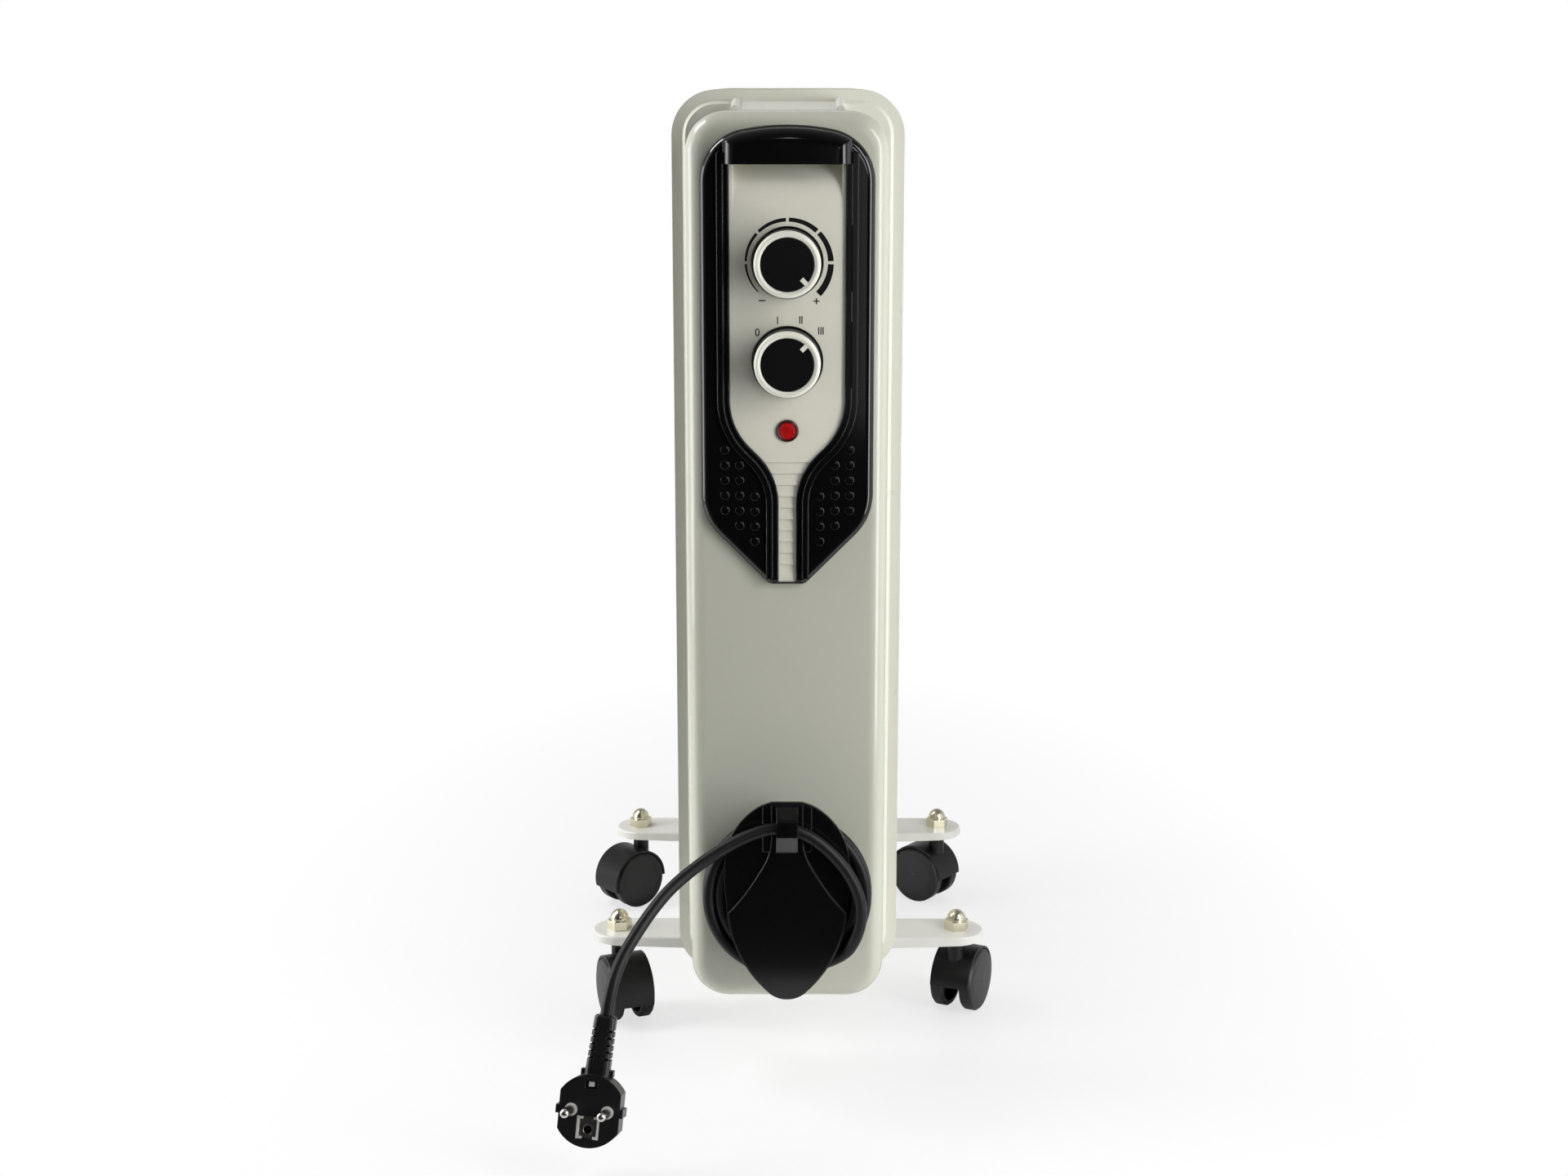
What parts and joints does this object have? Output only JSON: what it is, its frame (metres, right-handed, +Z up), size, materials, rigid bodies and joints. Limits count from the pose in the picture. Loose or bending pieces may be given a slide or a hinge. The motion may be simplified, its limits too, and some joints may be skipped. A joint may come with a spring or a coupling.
{
  "type": "oil filled radiator heater",
  "caption": "Upright oil filled radiator heater with pressed steel fins, a front control box with two knobs, twin-wheel casters and a mains cord held by a clip.",
  "frame": {"origin": "on the floor under the middle of the heater without its cord", "axes": "+X to the right seen from the front, +Y from the control box to the last fin, +Z up"},
  "size_m": [0.2611, 0.4696, 0.5544],
  "materials": {
    "fin_enamel": "satin stone-grey enamel on pressed steel",
    "cover_enamel": "satin stone-grey enamel",
    "leg_enamel": "satin pale enamel",
    "bezel_plastic": "polished black moulding",
    "fascia_plastic": "semi-gloss pale moulding",
    "knob_plastic": "semi-gloss pale moulding",
    "knob_cap_plastic": "matt black disc",
    "red_lens": "clear dark red",
    "lamp_glass": "clear",
    "holder_plastic": "satin black moulding",
    "cord_rubber": "matt black sheath",
    "plug_plastic": "satin black moulding",
    "plug_nickel": "bright nickel plating",
    "wire_sleeve": "insulated single wires",
    "switch_moulding": "dark phenolic moulding",
    "caster_plastic": "satin black moulding",
    "wheel_plastic": "satin black moulding",
    "nut_plating": "pale brass-toned plating",
    "element_steel": "dull steel sheath",
    "zinc_steel": "zinc plated"
  },
  "bodies": {
    "heater": {"acorn_nuts": "nut_plating", "back_plate": "zinc_steel", "bracket_screws": "zinc_steel", "caster_stems": "zinc_steel", "control_bezel": "bezel_plastic", "control_fascia": "fascia_plastic", "cord_coil": "cord_rubber", "cord_gland": "plug_plastic", "cord_holder": "holder_plastic", "cord_tube": "cord_rubber", "cover_screws": "zinc_steel", "element_flange": "zinc_steel", "fin_1": "fin_enamel", "fin_2": "fin_enamel", "fin_3": "fin_enamel", "fin_4": "fin_enamel", "fin_5": "fin_enamel", "fin_6": "fin_enamel", "fin_7": "fin_enamel", "front_cover": "cover_enamel", "heating_element": "element_steel", "indicator_lens": "red_lens", "leg_plate_front": "leg_enamel", "leg_plate_rear": "leg_enamel", "neon_lamp": "lamp_glass", "plug_body": "plug_plastic", "plug_boot": "plug_plastic", "plug_earth_clips": "plug_nickel", "plug_pins": "plug_nickel", "rotary_switch_body": "switch_moulding", "standoff_brackets": "zinc_steel", "thermal_cutout": "zinc_steel", "thermostat_body": "switch_moulding", "top_bridge": "cover_enamel", "u_bolts": "zinc_steel", "wing_nuts": "zinc_steel", "wiring": "wire_sleeve"},
    "thermostat_control": {"thermostat_knob": "knob_plastic", "thermostat_knob_cap": "knob_cap_plastic", "thermostat_shaft": "zinc_steel"},
    "switch_control": {"switch_knob": "knob_plastic", "switch_knob_cap": "knob_cap_plastic", "rotary_switch_shaft": "zinc_steel"},
    "caster_fl": {"caster_fl_hood": "caster_plastic", "caster_fl_axle": "zinc_steel"},
    "wheel_fl_left": {"caster_fl_wheel_left": "wheel_plastic"},
    "wheel_fl_right": {"caster_fl_wheel_right": "wheel_plastic"},
    "caster_fr": {"caster_fr_hood": "caster_plastic", "caster_fr_axle": "zinc_steel"},
    "wheel_fr_left": {"caster_fr_wheel_left": "wheel_plastic"},
    "wheel_fr_right": {"caster_fr_wheel_right": "wheel_plastic"},
    "caster_rl": {"caster_rl_hood": "caster_plastic", "caster_rl_axle": "zinc_steel"},
    "wheel_rl_left": {"caster_rl_wheel_left": "wheel_plastic"},
    "wheel_rl_right": {"caster_rl_wheel_right": "wheel_plastic"},
    "caster_rr": {"caster_rr_hood": "caster_plastic", "caster_rr_axle": "zinc_steel"},
    "wheel_rr_left": {"caster_rr_wheel_left": "wheel_plastic"},
    "wheel_rr_right": {"caster_rr_wheel_right": "wheel_plastic"}
  },
  "joints": [
    {"name": "thermostat_turn", "type": "hinge", "parent": "heater", "child": "thermostat_control", "pos_m": [0, -0.167, 0.466], "axis": [0, -1, 0], "range_deg": [0, 270]},
    {"name": "switch_turn", "type": "hinge", "parent": "heater", "child": "switch_control", "pos_m": [0, -0.167, 0.4139], "axis": [0, -1, 0], "range_deg": [0, 90]},
    {"name": "caster_fl_swivel", "type": "hinge", "parent": "heater", "child": "caster_fl", "pos_m": [-0.1028, -0.04085, 0.0506], "axis": [0, 0, 1], "continuous": true},
    {"name": "wheel_fl_left_spin", "type": "hinge", "parent": "caster_fl", "child": "wheel_fl_left", "pos_m": [-0.09926, -0.04999, 0.019], "axis": [0.9323, 0.3616, 0], "continuous": true},
    {"name": "wheel_fl_right_spin", "type": "hinge", "parent": "caster_fl", "child": "wheel_fl_right", "pos_m": [-0.09926, -0.04999, 0.019], "axis": [0.9323, 0.3616, 0], "continuous": true},
    {"name": "caster_fr_swivel", "type": "hinge", "parent": "heater", "child": "caster_fr", "pos_m": [0.1028, -0.04085, 0.0506], "axis": [0, 0, 1], "continuous": true},
    {"name": "wheel_fr_left_spin", "type": "hinge", "parent": "caster_fr", "child": "wheel_fr_left", "pos_m": [0.10702, -0.032, 0.019], "axis": [-0.9026, 0.4305, 0], "continuous": true},
    {"name": "wheel_fr_right_spin", "type": "hinge", "parent": "caster_fr", "child": "wheel_fr_right", "pos_m": [0.10702, -0.032, 0.019], "axis": [-0.9026, 0.4305, 0], "continuous": true},
    {"name": "caster_rl_swivel", "type": "hinge", "parent": "heater", "child": "caster_rl", "pos_m": [-0.1028, 0.15565, 0.0506], "axis": [0, 0, 1], "continuous": true},
    {"name": "wheel_rl_left_spin", "type": "hinge", "parent": "caster_rl", "child": "wheel_rl_left", "pos_m": [-0.11025, 0.14929, 0.019], "axis": [0.6494, -0.7604, 0], "continuous": true},
    {"name": "wheel_rl_right_spin", "type": "hinge", "parent": "caster_rl", "child": "wheel_rl_right", "pos_m": [-0.11025, 0.14929, 0.019], "axis": [0.6494, -0.7604, 0], "continuous": true},
    {"name": "caster_rr_swivel", "type": "hinge", "parent": "heater", "child": "caster_rr", "pos_m": [0.1028, 0.15565, 0.0506], "axis": [0, 0, 1], "continuous": true},
    {"name": "wheel_rr_left_spin", "type": "hinge", "parent": "caster_rr", "child": "wheel_rr_left", "pos_m": [0.09496, 0.16153, 0.019], "axis": [-0.6004, -0.7997, 0], "continuous": true},
    {"name": "wheel_rr_right_spin", "type": "hinge", "parent": "caster_rr", "child": "wheel_rr_right", "pos_m": [0.09496, 0.16153, 0.019], "axis": [-0.6004, -0.7997, 0], "continuous": true}
  ]
}
